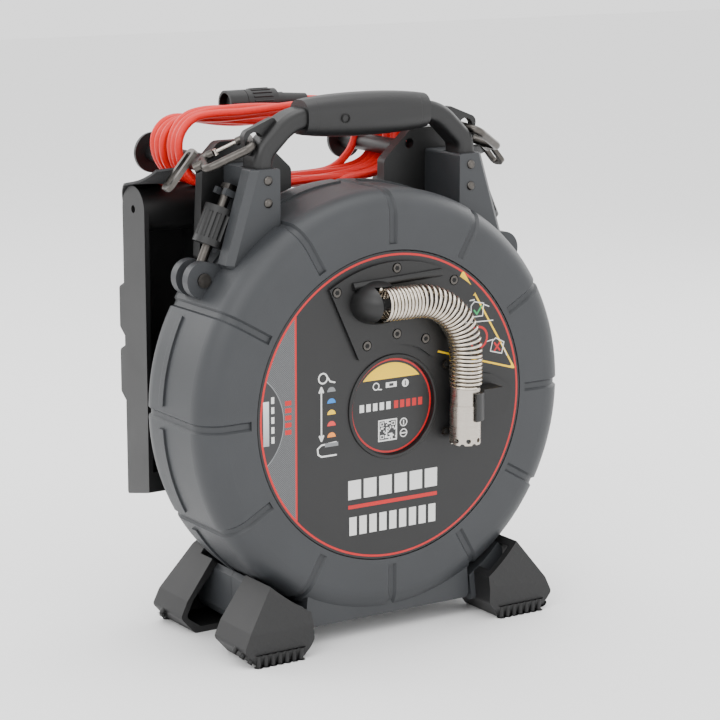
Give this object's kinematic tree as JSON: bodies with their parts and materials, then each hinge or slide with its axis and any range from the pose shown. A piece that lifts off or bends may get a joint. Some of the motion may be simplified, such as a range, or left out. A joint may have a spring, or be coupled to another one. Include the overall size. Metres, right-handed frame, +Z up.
{
  "type": "drain inspection camera reel",
  "caption": "Hand-carried drain inspection camera: a round cable drum case on rubber boots, with a sprung camera head, side clamps, dock panel, carry handle and system cable.",
  "frame": {"origin": "centre of the floor outline of the object without its cable, at floor level", "axes": "+Z up, face plate and camera toward -Y, dock panel toward +Y"},
  "size_m": [0.3368, 0.2053, 0.4198],
  "materials": {
    "case_grey": "satin texture",
    "black_plastic": "satin",
    "plate_black": "fine texture with printed graphics",
    "label_print": "printed label",
    "rubber_black": "matte",
    "stainless": "satin",
    "dark_steel": "semi gloss",
    "cable_red": "satin",
    "webbing_black": "woven",
    "inner_plastic": "plain",
    "copper": "satin",
    "lens_glass": "clear",
    "led_white": "gloss",
    "push_cable": "satin"
  },
  "bodies": {
    "reel_case": {"cable_gland": "black_plastic", "cable_guide": "black_plastic", "cable_posts": "stainless", "camera_clip": "black_plastic", "camera_spring": "stainless", "case_screws": "dark_steel", "clamp_pins": "stainless", "clip_screws": "dark_steel", "face_plate": "plate_black", "front_boots": "rubber_black", "front_case": "case_grey", "front_legs": "case_grey", "grip": "rubber_black", "guide_screws": "dark_steel", "handle_frame": "black_plastic", "handle_rivets": "dark_steel", "hinge_pins": "stainless", "hub_bezel": "black_plastic", "hub_label": "label_print", "left_dock_arm": "black_plastic", "plug_body": "black_plastic", "plug_boot": "black_plastic", "plug_insert": "black_plastic", "push_cable_end": "push_cable", "rear_bearing": "stainless", "rear_boots": "rubber_black", "rear_case": "case_grey", "rear_hub_cover": "black_plastic", "rear_legs": "case_grey", "right_dock_arm": "black_plastic", "slip_ring": "copper", "snap_hooks": "black_plastic", "spindle": "stainless", "strap_ends": "webbing_black", "strap_rings": "black_plastic", "system_cable_coil": "cable_red", "system_cable_lead": "cable_red", "system_cable_tail": "cable_red"},
    "drum": {"drum_front": "inner_plastic", "drum_rear": "inner_plastic", "drum_screws": "dark_steel", "push_cable_coil": "push_cable", "slip_ring_brushes": "inner_plastic"},
    "left_bolt": {"left_swing_bolt": "dark_steel"},
    "right_bolt": {"right_swing_bolt": "dark_steel"},
    "left_knob": {"left_clamp_knob": "black_plastic"},
    "right_knob": {"right_clamp_knob": "black_plastic"},
    "left_gate": {"left_hook_gate": "stainless"},
    "right_gate": {"right_hook_gate": "stainless"},
    "dock": {"dock_panel": "black_plastic", "dock_rails": "black_plastic", "dock_toe": "black_plastic", "strap_loop": "webbing_black"},
    "camera": {"camera_head": "stainless", "camera_crown": "stainless", "lens_window": "lens_glass", "light_ring": "led_white", "lens_barrel": "black_plastic", "spring_collar": "stainless"},
    "collar": {"plug_collar": "black_plastic"}
  },
  "joints": [
    {"name": "drum_spin", "type": "hinge", "parent": "reel_case", "child": "drum", "pos_m": [0, -0.0215, 0.182], "axis": [0, 1, 0], "continuous": true},
    {"name": "left_bolt_swing", "type": "hinge", "parent": "reel_case", "child": "left_bolt", "pos_m": [-0.1385, -0.0115, 0.286], "axis": [0, -1, 0], "range_deg": [0, 60]},
    {"name": "left_knob_turn", "type": "hinge", "parent": "left_bolt", "child": "left_knob", "pos_m": [-0.12135, -0.0115, 0.32434], "axis": [0.4084, 0, 0.9128], "continuous": true},
    {"name": "left_gate_open", "type": "hinge", "parent": "reel_case", "child": "left_gate", "pos_m": [-0.11491, -0.00197, 0.37846], "axis": [0.4678, 0, -0.8839], "range_deg": [0, 15], "stiffness_Nm_per_rad": 0.02},
    {"name": "right_bolt_swing", "type": "hinge", "parent": "reel_case", "child": "right_bolt", "pos_m": [0.1385, -0.0115, 0.286], "axis": [0, 1, 0], "range_deg": [0, 60]},
    {"name": "right_knob_turn", "type": "hinge", "parent": "right_bolt", "child": "right_knob", "pos_m": [0.12135, -0.0115, 0.32434], "axis": [-0.4084, 0, 0.9128], "continuous": true},
    {"name": "right_gate_open", "type": "hinge", "parent": "reel_case", "child": "right_gate", "pos_m": [0.11491, -0.00197, 0.37846], "axis": [0.4678, 0, 0.8839], "range_deg": [0, 15], "stiffness_Nm_per_rad": 0.02},
    {"name": "dock_tilt", "type": "hinge", "parent": "reel_case", "child": "dock", "pos_m": [0, 0.065, 0.33], "axis": [1, 0, 0], "range_deg": [0, 60]},
    {"name": "camera_release", "type": "slide", "parent": "reel_case", "child": "camera", "axis": [-1, 0, 0], "range_m": [0, 0.03], "deforming": ["camera_spring", "push_cable_end"]},
    {"name": "plug_collar_turn", "type": "hinge", "parent": "reel_case", "child": "collar", "pos_m": [-0.04, 0.0785, 0.405], "axis": [1, 0, 0], "continuous": true}
  ]
}
